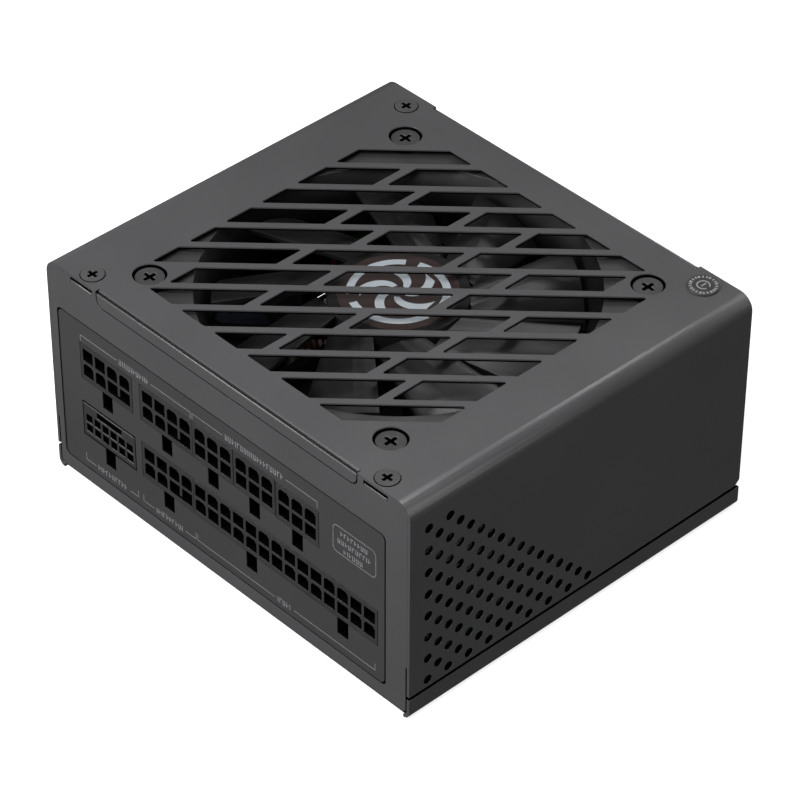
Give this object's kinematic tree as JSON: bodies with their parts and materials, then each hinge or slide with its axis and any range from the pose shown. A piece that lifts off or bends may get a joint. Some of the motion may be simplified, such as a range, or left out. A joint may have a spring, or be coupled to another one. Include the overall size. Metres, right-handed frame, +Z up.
{
  "type": "power supply unit",
  "caption": "Compact modular computer power supply: folded steel case with a diagonal fan grille, cable sockets, mains inlet, rocker switch and boards inside.",
  "frame": {"origin": "middle of the case's underside", "axes": "+X to the right seen from the sockets, +Y from the sockets towards the inlet panel, +Z up through the fan"},
  "size_m": [0.1251, 0.1124, 0.0639],
  "materials": {
    "bronze": "sintered",
    "can_bare": "bare can",
    "can_dark": "sleeved can",
    "ceramic_blue": "dipped",
    "ceramic_white": "ceramic tube",
    "circuit_board": "solder mask",
    "connector_white": "moulded",
    "contact_brass": "plated",
    "copper_wire": "enamelled wire",
    "fan_frame_plastic": "moulded, satin",
    "fan_rotor_plastic": "moulded, glossy",
    "ferrite": "sintered",
    "film_black": "insulating film",
    "film_yellow": "moulded and tape",
    "heatsink_alu": "extruded",
    "label_plain": "satin",
    "label_print": "printed film, satin",
    "painted_steel": "matt fine-grain powder coat",
    "resin_black": "moulded resin",
    "screw_black": "black oxide, satin",
    "seal_black": "satin",
    "socket_black": "moulded",
    "sticker_brown": "printed",
    "switch_black": "moulded",
    "wire_black": "insulated wire",
    "wire_brown": "insulated wire",
    "wire_green": "insulated wire",
    "wire_red": "insulated wire",
    "zinc_steel": "plated"
  },
  "bodies": {
    "case": {"chassis": "painted_steel", "cover": "painted_steel", "panel_label": "label_print", "rating_label": "label_plain", "warranty_seal": "seal_black", "cover_screws": "screw_black", "fan_screws": "screw_black", "fan_frame": "fan_frame_plastic", "fan_bearing": "bronze", "fan_stator": "copper_wire", "fan_board": "circuit_board", "fan_lead_red": "wire_red", "fan_lead_black": "wire_black", "fan_plug": "connector_white", "fan_header": "connector_white", "socket_8pin_a": "socket_black", "socket_8pin_b": "socket_black", "socket_8pin_c": "socket_black", "socket_6pin_a": "socket_black", "socket_6pin_b": "socket_black", "socket_6pin_c": "socket_black", "socket_18pin": "socket_black", "socket_10pin": "socket_black", "socket_16pin": "socket_black", "socket_pins": "contact_brass", "socket_board": "circuit_board", "link_bars": "copper_wire", "main_board": "circuit_board", "board_standoffs": "contact_brass", "board_screws": "zinc_steel", "insulating_sheet": "film_black", "ac_inlet": "socket_black", "inlet_pins": "zinc_steel", "inlet_screws": "zinc_steel", "inlet_nuts": "zinc_steel", "switch_housing": "switch_black", "switch_tabs": "contact_brass", "ac_leads": "wire_brown", "earth_lead": "wire_green", "emi_choke": "copper_wire", "x_capacitor": "film_yellow", "y_capacitors": "ceramic_blue", "fuse": "ceramic_white", "bridge_rectifier": "resin_black", "boost_choke": "copper_wire", "bulk_capacitor": "can_dark", "primary_heatsink": "heatsink_alu", "power_transistors": "resin_black", "transformer_core": "ferrite", "transformer_winding": "film_yellow", "rectifier_heatsink": "heatsink_alu", "output_capacitors": "can_bare", "output_choke": "copper_wire", "control_board": "circuit_board", "standby_transformer": "ferrite"},
    "impeller": {"fan_rotor": "fan_rotor_plastic", "fan_shaft": "zinc_steel", "fan_magnet": "ferrite", "hub_sticker": "sticker_brown"},
    "rocker": {"switch_rocker": "switch_black"}
  },
  "joints": [
    {"name": "fan_spin", "type": "hinge", "parent": "case", "child": "impeller", "pos_m": [0.0008, -0.0003, 0.05], "axis": [0, 0, 1], "continuous": true},
    {"name": "rocker_tilt", "type": "hinge", "parent": "case", "child": "rocker", "pos_m": [0.011, 0.0516, 0.03175], "axis": [1, 0, 0], "range_deg": [0, 20]}
  ]
}
